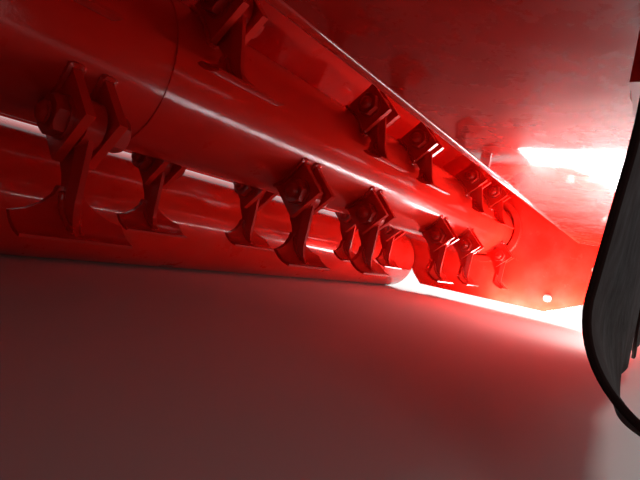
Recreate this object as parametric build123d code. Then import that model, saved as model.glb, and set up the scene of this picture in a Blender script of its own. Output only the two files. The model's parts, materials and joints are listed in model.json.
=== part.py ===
from build123d import *
import os
from math import cos, sin, radians, hypot

os.makedirs("parts", exist_ok=True)

# Chopping unit of a stalk chopper, in millimetres, standing on level ground at z = 0.
# X runs along the rotor, the machine travels towards -Y, Z is up.

# driving sizes
TUBE_R = 168.3 / 2
TUBE_WALL = 8.0
AXIS_HEIGHT = 252.0
INNER_HALF = 1045.0
END_PLATE_T = 8.0
LAST_UNIT = 16
UNIT_MARGIN = 53.0
UNIT_PITCH = (INNER_HALF - UNIT_MARGIN) / LAST_UNIT
PIVOT_R = TUBE_R + 28.85
KNIFE_REACH = 96.0
FOOT_W = 92.0
ROLLER_R = 100.0
ROLLER_WALL = 8.0
HOOD_R = 265.0
HOOD_T = 6.0
RUN_GAP = 6.0
MOVE_GAP = 10.0
ROLLER_HALF = INNER_HALF - RUN_GAP

# heights and places, measured from the rotor axis
HOOD_OUT = HOOD_R + HOOD_T
SKIRT_Z = -57.0
SKIRT_CLEAR = 7.35
SHOE_HEIGHT = 32.0
END_LOW = SHOE_HEIGHT - AXIS_HEIGHT
ROLLER_Z = ROLLER_R - AXIS_HEIGHT
back = (ROLLER_R + SKIRT_CLEAR) ** 2 - (SKIRT_Z - ROLLER_Z) ** 2
ROLLER_Y = HOOD_OUT + max(back, 50.0 ** 2) ** 0.5
FRONT_PLATE_Z = -3.0
PLATE_EDGE = 3.0
FRONT_PLATE_BACK = PLATE_EDGE - HOOD_R
FRONT_DEPTH = 201.0
FRONT_FACE = FRONT_PLATE_BACK - FRONT_DEPTH
COVER_T = 6.0
COVER_LIP_Z = -48.0
COVER_KNEE_Z = 108.0
COVER_TOP_SLOPE = 17.0
EAR_BORE_R = 14.35
EAR_R = 38.0
EAR_T = 15.0
EAR_GAP = 60.0
EAR_X = 412.0
LOWER_PIN_OUT = 82.0
LOWER_PIN_Y = FRONT_FACE - LOWER_PIN_OUT
LOWER_PIN_Z = 128.0
UPPER_PIN_Y = -175.0
UPPER_PIN_RISE = 155.0
UPPER_PIN_Z = HOOD_R + UPPER_PIN_RISE

# the origin lies under the middle of the outline
REACH_FRONT = EAR_R - LOWER_PIN_Y
REACH_REAR = ROLLER_Y + ROLLER_R
AXIS_Y = (REACH_FRONT - REACH_REAR) / 2


def prism(points, x0, x1):
    # a flat outline given as (y, z) from the rotor axis, drawn out from x0 to x1
    pts = [(x0, y + AXIS_Y, z + AXIS_HEIGHT) for y, z in points]
    face = make_face(Polyline(*pts, close=True))
    return extrude(face, amount=x1 - x0, dir=(1, 0, 0))


def rod(y, z, r, x0, x1):
    # a round bar along X
    c = Cylinder(r, x1 - x0, rotation=(0, 90, 0))
    return Pos((x0 + x1) / 2, y + AXIS_Y, z + AXIS_HEIGHT) * c


def block(x0, x1, y0, y1, z0, z1):
    b = Box(x1 - x0, y1 - y0, z1 - z0)
    return Pos((x0 + x1) / 2, (y0 + y1) / 2 + AXIS_Y, (z0 + z1) / 2 + AXIS_HEIGHT) * b


def flip(shape):
    return mirror(shape, about=Plane.YZ)


def save(shape, node):
    if isinstance(shape, list):
        shape = Compound(children=shape)
    export_step(shape, "parts/" + node + ".step")


def solids(shape):
    return list(shape.solids())


OUTER = INNER_HALF + END_PLATE_T

# hood: an arch over the rotor, open below, with a straight skirt behind
arch = rod(0, 0, HOOD_OUT, -INNER_HALF, INNER_HALF) - rod(0, 0, HOOD_R, -INNER_HALF - 1, INNER_HALF + 1)
arch -= block(-INNER_HALF - 1, INNER_HALF + 1, -HOOD_OUT - 1, HOOD_OUT + 1, -HOOD_OUT - 1, FRONT_PLATE_Z + HOOD_T)
arch += block(-INNER_HALF, INNER_HALF, HOOD_R, HOOD_OUT, SKIRT_Z, FRONT_PLATE_Z + HOOD_T + 1)
save(arch, "hood_shell")

# flat plate ahead of the rotor
front_plate = block(-INNER_HALF, INNER_HALF, FRONT_FACE, FRONT_PLATE_BACK, FRONT_PLATE_Z, FRONT_PLATE_Z + HOOD_T)
save(front_plate, "front_plate")

# front cover: lip, upright face and sloping top, ending on the arch
tan_s = sin(radians(COVER_TOP_SLOPE)) / cos(radians(COVER_TOP_SLOPE))
RUN = 330.0
fo = FRONT_FACE - COVER_T
drop = COVER_T * (1 - sin(radians(COVER_TOP_SLOPE))) / cos(radians(COVER_TOP_SLOPE))
cover = prism([
    (fo, COVER_LIP_Z),
    (FRONT_FACE, COVER_LIP_Z),
    (FRONT_FACE, COVER_KNEE_Z - drop),
    (FRONT_FACE + RUN, COVER_KNEE_Z - drop + RUN * tan_s),
    (FRONT_FACE + RUN, COVER_KNEE_Z + (RUN + COVER_T) * tan_s),
    (fo, COVER_KNEE_Z),
], -INNER_HALF, INNER_HALF)
cover -= rod(0, 0, HOOD_OUT, -INNER_HALF - 1, INNER_HALF + 1)
save(cover, "front_cover")

# end plates
RIM_EDGE = 14.0
END_RIM_R = HOOD_OUT + RIM_EDGE
END_FRONT = FRONT_FACE - COVER_T - 6.0
END_BEND_BACK = 248.0
END_BEND_Y = FRONT_FACE + END_BEND_BACK
END_FRONT_Z = -101.0
END_REAR_Y = ROLLER_Y - ROLLER_R - 6.0
SHAFT_HOLE_R = 42.0
end_plate = prism([
    (END_FRONT, END_FRONT_Z),
    (END_BEND_Y, END_LOW),
    (END_REAR_Y - 30.0, END_LOW),
    (END_REAR_Y, END_LOW + 30.0),
    (END_REAR_Y + 20.0, ROLLER_Z - 6.0),
    (END_REAR_Y + 40.0, SKIRT_Z - 53.0),
    (END_RIM_R, SKIRT_Z - 3.0),
    (END_RIM_R, 0.0),
    (-0.45 * HOOD_R, 0.9 * HOOD_R),
    (END_FRONT, COVER_KNEE_Z + RIM_EDGE),
], INNER_HALF, OUTER)
end_plate += rod(0, 0, END_RIM_R, INNER_HALF, OUTER) - block(INNER_HALF, OUTER, -END_RIM_R, END_RIM_R, -END_RIM_R, 0)
end_plate -= rod(0, 0, SHAFT_HOLE_R, INNER_HALF - 1, OUTER + 1)
save(end_plate, "end_plate_right")
save(flip(end_plate), "end_plate_left")

# guard rings round the rotor's ends
RING_IN = TUBE_R + 6.0
RING_OUT = RING_IN + 16.0
RING_L = 12.0
ring = rod(0, 0, RING_OUT, INNER_HALF - RING_L, INNER_HALF) - rod(0, 0, RING_IN, INNER_HALF - RING_L - 1, INNER_HALF + 1)
save(ring, "guard_ring_right")
save(flip(ring), "guard_ring_left")

# rotor bearings, bolted outside the end plates
SHAFT_R = 30.0
BEARING_GAP = 0.05
SHAFT_PROUD = 4.0
BEARING_FLANGE_R = 95.0
BEARING_FLANGE_T = 14.0
BEARING_R = 62.0
BEARING_L = 44.0
bearing = rod(0, 0, BEARING_FLANGE_R, OUTER, OUTER + BEARING_FLANGE_T)
bearing += rod(0, 0, BEARING_R, OUTER, OUTER + BEARING_L)
bearing -= rod(0, 0, SHAFT_R + BEARING_GAP, OUTER - 1, OUTER + BEARING_L + 1)
BEARING_PCD_R = 79.0
for k in range(6):
    a = radians(30 + 60 * k)
    bearing += rod(BEARING_PCD_R * cos(a), BEARING_PCD_R * sin(a), 9.5, OUTER, OUTER + BEARING_FLANGE_T + 9)
save(bearing, "bearing_right")
save(flip(bearing), "bearing_left")

# wear shoes, flush with the end plates' lower edges
SHOE_W = 50.0
SHOE_T = 10.0
SHOE_FRONT_Y = END_BEND_Y - 85.0
SHOE_REAR_Y = END_REAR_Y - 55.0
SHOE_BACK_T = 6.0
SHOE_BACK_H = 55.0
slope = (END_LOW - END_FRONT_Z) / (END_BEND_Y - END_FRONT)
shoe_front_z = END_LOW + slope * (SHOE_FRONT_Y - END_BEND_Y)
shoe = prism([
    (SHOE_FRONT_Y, shoe_front_z),
    (END_BEND_Y, END_LOW),
    (SHOE_REAR_Y, END_LOW),
    (SHOE_REAR_Y, END_LOW + SHOE_T),
    (END_BEND_Y + 2, END_LOW + SHOE_T),
    (SHOE_FRONT_Y, shoe_front_z + SHOE_T + 1),
], OUTER, OUTER + SHOE_W)
shoe += prism([
    (SHOE_FRONT_Y, shoe_front_z + SHOE_T),
    (END_BEND_Y + 2, END_LOW + SHOE_T),
    (SHOE_REAR_Y, END_LOW + SHOE_T),
    (SHOE_REAR_Y, END_LOW + SHOE_BACK_H),
    (END_BEND_Y - 10, END_LOW + SHOE_BACK_H),
    (SHOE_FRONT_Y, shoe_front_z + SHOE_BACK_H),
], OUTER, OUTER + SHOE_BACK_T)
save(shoe, "wear_shoe_right")
save(flip(shoe), "wear_shoe_left")

# rotor tube and its stub shafts
TUBE_HALF = INNER_HALF - MOVE_GAP
DISC_T = 20.0
DISC_IN = 10.0
DRIVE_R = 25.0
DRIVE_L = 49.0
tube = rod(0, 0, TUBE_R, -TUBE_HALF, TUBE_HALF) - rod(0, 0, TUBE_R - TUBE_WALL, -TUBE_HALF - 1, TUBE_HALF + 1)
save(tube, "rotor_tube")
stub = rod(0, 0, TUBE_R - TUBE_WALL, TUBE_HALF - DISC_IN - DISC_T, TUBE_HALF - DISC_IN)
stub += rod(0, 0, SHAFT_R, TUBE_HALF - DISC_IN - DISC_T - 20, OUTER + BEARING_L + SHAFT_PROUD)
save(stub, "stub_shaft_right")
drive = flip(stub)
DRIVE_END = OUTER + BEARING_L + SHAFT_PROUD + DRIVE_L
drive += rod(0, 0, DRIVE_R, -DRIVE_END, -(OUTER + BEARING_L + SHAFT_PROUD))
save(drive, "stub_shaft_left")

# one knife unit about its own pivot: lugs, bolt and knife
LUG_T = 8.0
LUG_GAP = 20.0
LUG_W = 55.0
LUG_TIP_R = PIVOT_R + 21.5
BOLT_R = 10.0
BOLT_CLEAR = 0.4
HEAD_AF = 30.0
HEAD_T = 12.5
NUT_T = 10.0
BOLT_END = 4.0
WASHER_R = 18.5
WASHER_T = 3.0
EYE_R = 21.0
EYE_T = 15.0
STEM_T = 12.0
STEM_EDGE_T = 5.0
TAPER_FROM = -4.0
TAPER_TO = -14.0
FOOT_T = 7.0
TIP_T = 2.0
SCOOP_R = 35.0
SCOOP_Y = -34.0
SCOOP_Z = SCOOP_R + FOOT_T - KNIFE_REACH


def plate_yz(points, x0, x1):
    pts = [(x0, y, z) for y, z in points]
    return extrude(make_face(Polyline(*pts, close=True)), amount=x1 - x0, dir=(1, 0, 0))


def bar(y, z, r, x0, x1):
    return Pos((x0 + x1) / 2, y, z) * Cylinder(r, x1 - x0, rotation=(0, 90, 0))


half_in = LUG_GAP / 2
half_out = LUG_GAP / 2 + LUG_T

# lug pair, drawn with the row's outward direction along +Z, from the rotor axis
LUG_ROOT = TUBE_R - 8.0
lug = Pos((half_in + half_out) / 2, 0, (LUG_ROOT + LUG_TIP_R) / 2) * Box(LUG_T, LUG_W, LUG_TIP_R - LUG_ROOT)
lug -= bar(0, 0, TUBE_R, 0, half_out + 1)
lug -= bar(0, PIVOT_R, BOLT_R + BOLT_CLEAR, 0, half_out + 1)
lug_pair = [lug, mirror(lug, about=Plane.YZ)]

# bolt with a washer and hexagon head on the right, washer and nut on the left
bolt = bar(0, 0, BOLT_R, -half_out - WASHER_T - NUT_T, half_out + WASHER_T)
bolt += bar(0, 0, BOLT_R - 1.5, -half_out - WASHER_T - NUT_T - BOLT_END, -half_out - WASHER_T - NUT_T)
bolt += bar(0, 0, WASHER_R, half_out, half_out + WASHER_T)
bolt += bar(0, 0, WASHER_R, -half_out - WASHER_T, -half_out)
hexagon = RegularPolygon(HEAD_AF / 2, 6, major_radius=False)
head = Pos(half_out + WASHER_T, 0, 0) * (Rot(0, 90, 0) * extrude(hexagon, HEAD_T))
head = head & Pos(half_out + WASHER_T, 0, 0) * Rot(0, 90, 0) * Pos(0, 0, HEAD_T / 2) * Cone(HEAD_AF / 2 + HEAD_T, HEAD_AF / 2, HEAD_T)
nut = Pos(-half_out - WASHER_T, 0, 0) * (Rot(0, -90, 0) * extrude(hexagon, NUT_T))
nut = nut & Pos(-half_out - WASHER_T, 0, 0) * Rot(0, -90, 0) * Pos(0, 0, NUT_T / 2) * Cone(HEAD_AF / 2 + NUT_T, HEAD_AF / 2, NUT_T)
bolt = bolt + head + nut

# knife hanging down from its pivot, scoop open towards -Y
A_TOP = 0.0
A_TIP = 84.0
foot = bar(SCOOP_Y, SCOOP_Z, SCOOP_R + FOOT_T, -FOOT_W / 2, FOOT_W / 2)
thin = (FOOT_T - TIP_T) / 2
foot -= bar(SCOOP_Y - thin, SCOOP_Z - thin, SCOOP_R + thin, -FOOT_W / 2 - 1, FOOT_W / 2 + 1)
far = 2 * SCOOP_R
sector = plate_yz([
    (SCOOP_Y, SCOOP_Z),
    (SCOOP_Y + far * cos(radians(A_TOP)), SCOOP_Z - far * sin(radians(A_TOP))),
    (SCOOP_Y + far, SCOOP_Z - far),
    (SCOOP_Y + far * cos(radians(A_TIP)), SCOOP_Z - far * sin(radians(A_TIP))),
], -FOOT_W / 2, FOOT_W / 2)
foot = foot & sector
low = -KNIFE_REACH
wing = [
    (FOOT_W / 2, low - 2),
    (FOOT_W / 2, low + 17),
    (34.0, low + 20),
    (22.0, low + 26),
    (13.0, low + 34),
    (8.0, low + 46),
]
wing = wing + [(-x, z) for x, z in reversed(wing)]
outline = extrude(make_face(Polyline(*[(x, -60, z) for x, z in wing], close=True)), amount=120, dir=(0, 1, 0))
foot = foot & outline
STEM_SEAT_R = SCOOP_R + FOOT_T - 1
STEM_BACK = [
    (-15.0, 6.0),
    (18.0, 4.0),
    (22.0, -16.0),
    (17.0, -34.0),
    (9.0, -48.0),
]
STEM_FRONT = [
    (-21.0, low + 7),
    (-16.5, low + 12),
    (-14.0, low + 20),
    (-13.5, low + 30),
    (-16.0, -14.0),
]
seat_arc = [
    (SCOOP_Y + STEM_SEAT_R * cos(radians(d)), SCOOP_Z - STEM_SEAT_R * sin(radians(d)))
    for d in (15, 35, 55, 72, 81)
]
STEM_OUTLINE = STEM_BACK + seat_arc + STEM_FRONT
stem = plate_yz(STEM_OUTLINE, -STEM_T / 2, STEM_T / 2)
# seen from above the stem narrows towards its front edge
taper = [
    (STEM_T / 2 + 1, 60.0),
    (STEM_T / 2 + 1, TAPER_FROM),
    (STEM_T / 2, TAPER_FROM),
    (STEM_EDGE_T / 2, TAPER_TO),
    (STEM_EDGE_T / 2, -60.0),
]
taper = taper + [(-x, y) for x, y in reversed(taper)]
stem = stem & extrude(make_face(Polyline(*[(x, y, low - 5) for x, y in taper], close=True)), amount=KNIFE_REACH + 40, dir=(0, 0, 1))
knife = foot + stem + bar(0, 0, EYE_R, -EYE_T / 2, EYE_T / 2)
knife -= bar(0, 0, BOLT_R + BOLT_CLEAR, -EYE_T, EYE_T)

# points along the knife's side outline
REST_GAP = 0.4
profile = []
for n, (y0, z0) in enumerate(STEM_OUTLINE):
    y1, z1 = STEM_OUTLINE[n - 1]
    profile += [(y0 + (y1 - y0) * s / 12, z0 + (z1 - z0) * s / 12) for s in range(12)]
for deg in range(int(A_TOP), int(A_TIP) + 1, 2):
    for r in (SCOOP_R, SCOOP_R + FOOT_T):
        profile.append((SCOOP_Y + r * cos(radians(deg)), SCOOP_Z - r * sin(radians(deg))))


def rests(angle, lean):
    # true when a knife hung from this row and leaning so stays outside the tube
    c = cos(radians(lean))
    s = sin(radians(lean))
    py = PIVOT_R * cos(radians(angle))
    pz = PIVOT_R * sin(radians(angle))
    return all(hypot(py + y * c - z * s, pz + y * s + z * c) > TUBE_R + REST_GAP for y, z in profile)


# rows: name, angle of the row from the rear towards the top, way the knife leans out, first units
LEAN_STEP = 0.25
ROWS = [
    ("b", 227.0, -1, (0, 3)),
    ("a", 137.0, -1, (2, 5)),
    ("d", 47.0, 1, (4, 7)),
    ("c", 317.0, 1, (6, 1)),
]
for name, angle, way, marks in ROWS:
    lean = 0.0
    while not rests(angle, lean) and abs(lean) < 90:
        lean += way * LEAN_STEP
    units = [k for k in range(-LAST_UNIT, LAST_UNIT + 1) if k % 8 in marks]
    py = PIVOT_R * cos(radians(angle))
    pz = PIVOT_R * sin(radians(angle))
    lugs = []
    bolts = []
    knives = []
    for k in units:
        x = k * UNIT_PITCH
        turn = Pos(x, AXIS_Y, AXIS_HEIGHT) * Rot(angle - 90, 0, 0)
        hang = Pos(x, AXIS_Y + py, AXIS_HEIGHT + pz)
        lugs += [turn * s for s in lug_pair]
        bolts.append(hang * Rot(angle - 90, 0, 0) * bolt)
        knives.append(hang * Rot(lean, 0, 0) * knife)
    save(lugs, "lugs_row_" + name)
    save(bolts, "bolts_row_" + name)
    save(knives, "knives_row_" + name)

# roller
ROLLER_PIN_R = 20.0
ARM_T = 12.0
ARM_BOSS_L = 34.0
ARM_BOSS_R = 40.0
ARM_FRONT = BEARING_FLANGE_R + 16.0
roller = rod(ROLLER_Y, ROLLER_Z, ROLLER_R, -ROLLER_HALF, ROLLER_HALF)
roller -= rod(ROLLER_Y, ROLLER_Z, ROLLER_R - ROLLER_WALL, -ROLLER_HALF - 1, ROLLER_HALF + 1)
save(roller, "roller_tube")
rstub = rod(ROLLER_Y, ROLLER_Z, ROLLER_R - ROLLER_WALL, ROLLER_HALF - 22, ROLLER_HALF - 10)
rstub += rod(ROLLER_Y, ROLLER_Z, ROLLER_PIN_R, ROLLER_HALF - 40, OUTER + ARM_BOSS_L + SHAFT_PROUD)
save([rstub, flip(rstub)], "roller_stubs")

# roller arms, bolted outside the end plates
arm = prism([
    (ARM_FRONT, -50.0),
    (ARM_FRONT + 22, -82.0),
    (ROLLER_Y - 40, ROLLER_Z - 40),
    (ROLLER_Y - 10, ROLLER_Z - 55),
    (ROLLER_Y + 34, ROLLER_Z - 46),
    (ROLLER_Y + 54, ROLLER_Z),
    (ROLLER_Y + 40, ROLLER_Z + 42),
    (END_RIM_R - 8, 18.0),
    (END_RIM_R - 34, 46.0),
    (ARM_FRONT + 14, 46.0),
    (ARM_FRONT, 30.0),
], OUTER, OUTER + ARM_T)
arm += rod(ROLLER_Y, ROLLER_Z, ARM_BOSS_R, OUTER, OUTER + ARM_BOSS_L)
arm -= rod(ROLLER_Y, ROLLER_Z, ROLLER_PIN_R + BEARING_GAP, OUTER - 1, OUTER + ARM_BOSS_L + 1)
save(arm, "roller_arm_right")
save(flip(arm), "roller_arm_left")

# parking legs in square sleeves at the front corners
LEG_W = 50.0
LEG_WALL = 5.0
LEG_FIT = 0.6
SLEEVE_WALL = 6.0
LEG_TRAVEL = 200.0
FOOT_HALF = 45.0
FOOT_PLATE_T = 8.0
LEG_Y = FRONT_FACE + 63.0
LEG_X = OUTER + MOVE_GAP + FOOT_HALF
SLEEVE_HALF = LEG_W / 2 + LEG_FIT + SLEEVE_WALL
SLEEVE_LOW = FOOT_PLATE_T + LEG_TRAVEL + MOVE_GAP - AXIS_HEIGHT
SLEEVE_TOP = SLEEVE_LOW + 150.0
FLANGE_LOW = END_FRONT_Z + 6.0
lh = LEG_W / 2
li = lh - LEG_WALL
leg = block(LEG_X - lh, LEG_X + lh, LEG_Y - lh, LEG_Y + lh, FOOT_PLATE_T - AXIS_HEIGHT, SLEEVE_TOP + 24)
leg -= block(LEG_X - li, LEG_X + li, LEG_Y - li, LEG_Y + li, FOOT_PLATE_T - AXIS_HEIGHT, SLEEVE_TOP + 25)
leg += block(LEG_X - FOOT_HALF, LEG_X + FOOT_HALF, LEG_Y - FOOT_HALF, LEG_Y + FOOT_HALF, -AXIS_HEIGHT, FOOT_PLATE_T - AXIS_HEIGHT)
save(leg, "leg_right")
save(flip(leg), "leg_left")
sh = SLEEVE_HALF
si = sh - SLEEVE_WALL
sleeve = block(LEG_X - sh, LEG_X + sh, LEG_Y - sh, LEG_Y + sh, SLEEVE_LOW, SLEEVE_TOP)
sleeve += block(OUTER, LEG_X - sh, LEG_Y - 20, LEG_Y + 20, SLEEVE_LOW + 20, SLEEVE_TOP - 20)
sleeve += block(OUTER, OUTER + 8, LEG_Y - 60, LEG_Y + 100, FLANGE_LOW, SLEEVE_TOP)
sleeve -= block(LEG_X - si, LEG_X + si, LEG_Y - si, LEG_Y + si, SLEEVE_LOW - 1, SLEEVE_TOP + 1)
save(sleeve, "leg_sleeve_right")
save(flip(sleeve), "leg_sleeve_left")

# carrier beam on the arch, with ribs under it and a drive seat on it
BEAM_W = 100.0
BEAM_WALL = 6.0
CAP_T = 6.0
BEAM_LOW = HOOD_OUT + 22.0
BEAM_Y = 0.0
bh = BEAM_W / 2
beam = block(-OUTER, OUTER, BEAM_Y - bh, BEAM_Y + bh, BEAM_LOW, BEAM_LOW + BEAM_W)
beam -= block(-OUTER + CAP_T, OUTER - CAP_T, BEAM_Y - bh + BEAM_WALL, BEAM_Y + bh - BEAM_WALL, BEAM_LOW + BEAM_WALL, BEAM_LOW + BEAM_W - BEAM_WALL)
save(beam, "carrier_beam")
RIB_T = 10.0
RIB_PLACES = [-0.6, -0.2, 0.2, 0.6]
ribs = []
for share in RIB_PLACES:
    x = share * INNER_HALF
    r = prism([
        (-0.64 * HOOD_R, 0.68 * HOOD_R),
        (0.64 * HOOD_R, 0.68 * HOOD_R),
        (0.72 * HOOD_R, 0.85 * HOOD_R),
        (bh + 14, BEAM_LOW),
        (-bh - 14, BEAM_LOW),
        (-0.72 * HOOD_R, 0.9 * HOOD_R),
    ], x - RIB_T / 2, x + RIB_T / 2)
    r -= rod(0, 0, HOOD_OUT, x - RIB_T, x + RIB_T)
    r -= prism([
        (FRONT_FACE, COVER_KNEE_Z - 60),
        (FRONT_FACE + RUN, COVER_KNEE_Z - 60),
        (FRONT_FACE + RUN, COVER_KNEE_Z + (RUN + COVER_T) * tan_s),
        (fo, COVER_KNEE_Z),
    ], x - RIB_T, x + RIB_T)
    ribs += solids(r)
save(ribs, "hood_ribs")
SEAT_X = 130.0
SEAT_T = 15.0
SEAT_HOLE_R = 8.5
SEAT_DX = 180.0
SEAT_DY = 140.0
seat = block(-SEAT_X, SEAT_X, BEAM_Y - 95, BEAM_Y + 95, BEAM_LOW + BEAM_W, BEAM_LOW + BEAM_W + SEAT_T)
for sx in (-1, 1):
    for sy in (-1, 1):
        hole = Pos(sx * SEAT_DX / 2, BEAM_Y + sy * SEAT_DY / 2 + AXIS_Y, BEAM_LOW + BEAM_W + AXIS_HEIGHT) * Cylinder(SEAT_HOLE_R, 4 * SEAT_T)
        seat -= hole
save(seat, "drive_seat")

# carrier ears: two plates a side, with a lower and an upper bore
ears = []
for s in (-1, 1):
    x0 = EAR_X + s * (EAR_GAP + EAR_T) / 2 - EAR_T / 2
    x1 = x0 + EAR_T
    ear = prism([
        (LOWER_PIN_Y - 20, LOWER_PIN_Z - 30),
        (fo, LOWER_PIN_Z - 100),
        (fo, COVER_KNEE_Z),
        (UPPER_PIN_Y - 5, COVER_KNEE_Z + (UPPER_PIN_Y - 5 - fo) * tan_s),
        (-bh, HOOD_OUT),
        (-bh, BEAM_LOW + BEAM_W),
        (UPPER_PIN_Y + 36, UPPER_PIN_Z + 12),
        (UPPER_PIN_Y - 34, UPPER_PIN_Z + 16),
        (LOWER_PIN_Y - 22, LOWER_PIN_Z + 30),
    ], x0, x1)
    ear += rod(LOWER_PIN_Y, LOWER_PIN_Z, EAR_R, x0, x1)
    ear += rod(UPPER_PIN_Y, UPPER_PIN_Z, EAR_R, x0, x1)
    ear -= rod(0, 0, HOOD_OUT, x0 - 1, x1 + 1)
    ear -= prism([
        (fo, -60),
        (FRONT_FACE + RUN, -60),
        (FRONT_FACE + RUN, COVER_KNEE_Z + (RUN + COVER_T) * tan_s),
        (fo, COVER_KNEE_Z),
    ], x0 - 1, x1 + 1)
    ear -= rod(LOWER_PIN_Y, LOWER_PIN_Z, EAR_BORE_R, x0 - 1, x1 + 1)
    ear -= rod(UPPER_PIN_Y, UPPER_PIN_Z, EAR_BORE_R, x0 - 1, x1 + 1)
    ears += solids(ear)
save(ears, "carrier_ears_right")
save([flip(e) for e in ears], "carrier_ears_left")

# rubber curtain under the front cover's lip, one flap missing with its clamping strip
STRIP_T = 5.0
STRIP_H = 30.0
FLAP_T = 4.0
FLAP_PLACES = 8
FLAP_SIDE_GAP = 5.0
FLAP_TOP = FRONT_PLATE_Z - 8.0
FLAP_LOW = END_LOW + 5.0
MISSING_PLACE = 2
STRIP_FACE = FRONT_FACE + FLAP_T
flap_pitch = 2 * INNER_HALF / FLAP_PLACES
flaps = []
strips = []
for n in range(FLAP_PLACES):
    if n == MISSING_PLACE:
        continue
    left = -INNER_HALF + n * flap_pitch + FLAP_SIDE_GAP / 2
    right = left + flap_pitch - FLAP_SIDE_GAP
    flaps.append(block(left, right, FRONT_FACE, STRIP_FACE, FLAP_LOW, FLAP_TOP))
    strips.append(block(left, right, STRIP_FACE, STRIP_FACE + STRIP_T, FLAP_TOP - STRIP_H, FLAP_TOP))
save(strips, "curtain_strip")
save(flaps, "curtain_flaps")
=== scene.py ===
import bpy
import bmesh
import json
import math
import random
from mathutils import Matrix, Vector


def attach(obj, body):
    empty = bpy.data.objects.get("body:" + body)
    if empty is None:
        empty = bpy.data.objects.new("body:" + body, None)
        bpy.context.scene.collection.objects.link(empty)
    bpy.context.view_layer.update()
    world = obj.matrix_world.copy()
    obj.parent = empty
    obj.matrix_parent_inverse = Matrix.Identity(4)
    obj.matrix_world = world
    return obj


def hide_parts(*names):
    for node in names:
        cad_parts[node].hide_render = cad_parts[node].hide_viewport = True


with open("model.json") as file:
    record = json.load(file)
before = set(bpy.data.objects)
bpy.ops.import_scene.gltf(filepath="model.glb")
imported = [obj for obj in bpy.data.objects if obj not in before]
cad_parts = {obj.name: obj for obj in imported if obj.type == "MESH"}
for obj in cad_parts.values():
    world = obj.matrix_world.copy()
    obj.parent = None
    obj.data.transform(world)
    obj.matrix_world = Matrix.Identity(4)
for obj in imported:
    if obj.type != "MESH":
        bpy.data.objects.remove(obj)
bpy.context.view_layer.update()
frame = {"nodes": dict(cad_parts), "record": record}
scene = bpy.context.scene
nodes = frame["nodes"]
rng = random.Random(7)

# Looks, small pieces, floor, light and camera for the chopping unit of a stalk chopper, in metres.
# X runs along the rotor, the machine travels towards -Y, Z is up.


def tidy(value):
    # to a hundredth of a millimetre, without the rounding of stored numbers
    return round(value, 5)


# places taken from the frame
HINGE_AT = {j["name"]: j["pos_m"] for j in frame["record"]["behaviour"]["joints"] if "pos_m" in j}
AXIS = Vector(HINGE_AT["rotor_spin"])
ROLLER_Y = tidy(HINGE_AT["roller_spin"][1] - HINGE_AT["rotor_spin"][1])
ROLLER_Z = tidy(HINGE_AT["roller_spin"][2] - HINGE_AT["rotor_spin"][2])
PLATE_XS = [corner[0] for corner in nodes["end_plate_right"].bound_box]
INNER = tidy(min(PLATE_XS))
OUTER = tidy(max(PLATE_XS))

# sizes of the rotor's solids
TUBE_R = 0.08415
PIVOT_R = 0.113
LUG_IN = 0.010
LUG_OUT = 0.018
LAST_UNIT = 16
UNIT_MARGIN = 0.053
UNIT_PITCH = tidy((INNER - UNIT_MARGIN) / LAST_UNIT)
UNIT_CYCLE = 8
# each row's angle, the lean of its knives in degrees, and the units of each cycle that it fills
ROWS = [(227.0, 0.0, (0, 3)), (137.0, -14.5, (2, 5)), (47.0, 23.25, (4, 7)), (317.0, 0.0, (6, 1))]

# sizes of the housing's solids; Y and Z are measured from the rotor's axis
HOOD_OUT = 0.271
FRONT_FACE = -0.463
COVER_FACE = -0.469
COVER_KNEE_Z = 0.108
COVER_SLOPE = math.radians(17.0)
# where the cover's slope meets the hood
COVER_MEET_Y = -0.1900
STRIP_FACE = -0.454
FLAP_PLACES = 8
FLAP_GONE = 2
FLAP_PITCH = 2 * INNER / FLAP_PLACES
EAR_X = 0.412
EAR_GAP = 0.060
EAR_T = 0.015
EAR_PINS = ((-0.545, 0.128), (-0.175, 0.420))
RIB_SHARES = (-0.6, -0.2, 0.2, 0.6)
RIB_HALF_T = 0.005
BEAM_HALF = 0.050
BEAM_LOW = 0.293
BEAM_TOP = 0.393
SEAT_HALF = 0.130
RING_R = 0.1069
BEARING_FLANGE = 0.014
BOLT_CIRCLE_R = 0.079
LEG_X = 1.108
LEG_Y = -0.400
SLEEVE_HALF = 0.0316

# radii of the housing's weld beads
TRIM_BEAD = 0.0018
SMALL_BEAD = 0.0022
SEAM_BEAD = 0.0030
STOUT_BEAD = 0.0032
EAR_BEAD = 0.0034


def at(x, y, z):
    # a place measured from the rotor's axis
    return Vector((x, AXIS.y + y, AXIS.z + z))


# materials
MATERIALS = {}


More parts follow.
